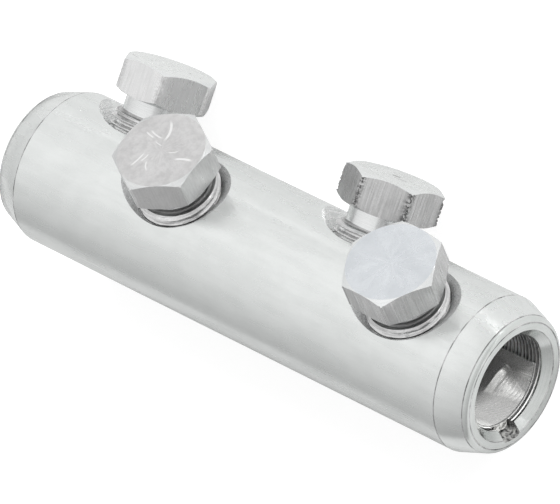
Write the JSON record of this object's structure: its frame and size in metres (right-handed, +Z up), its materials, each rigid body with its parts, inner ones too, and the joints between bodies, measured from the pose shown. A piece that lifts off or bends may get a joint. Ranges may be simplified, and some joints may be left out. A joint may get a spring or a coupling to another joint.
{
  "type": "shear bolt cable connector",
  "caption": "Tubular mechanical cable connector with blind bored ends, hexagon head shear bolts in staggered rows and half round centring inserts.",
  "frame": {"origin": "on the floor under the middle of the connector's bounding box, as it lies at rest on its tube and on the head of a lower bolt", "axes": "+X along the tube's axis, +Y level towards the side the bolts stand out from, +Z up"},
  "size_m": [0.13, 0.0474, 0.0419],
  "materials": {
    "tube": "tinned, smooth satin bright",
    "insert": "tinned, polished",
    "bolt": "machined and tinned, brushed"
  },
  "bodies": {
    "connector": {"connector_body": "tube", "insert_right": "insert", "insert_left": "insert"},
    "screw_upper_right": {"bolt_upper_right": "bolt"},
    "screw_upper_left": {"bolt_upper_left": "bolt"},
    "screw_lower_right": {"bolt_lower_right": "bolt"},
    "screw_lower_left": {"bolt_lower_left": "bolt"}
  },
  "joints": [
    {"name": "travel_upper_right", "type": "slide", "parent": "connector", "child": "screw_upper_right", "axis": [0, 0.781, 0.6246], "range_m": [-0.0032, 0.013]},
    {"name": "travel_upper_left", "type": "slide", "parent": "connector", "child": "screw_upper_left", "axis": [0, 0.781, 0.6246], "range_m": [-0.0035, 0.0127]},
    {"name": "travel_lower_right", "type": "slide", "parent": "connector", "child": "screw_lower_right", "axis": [0, 0.973, -0.2309], "range_m": [-0.0048, 0.0114]},
    {"name": "travel_lower_left", "type": "slide", "parent": "connector", "child": "screw_lower_left", "axis": [0, 0.973, -0.2309], "range_m": [-0.0055, 0.0107]}
  ]
}
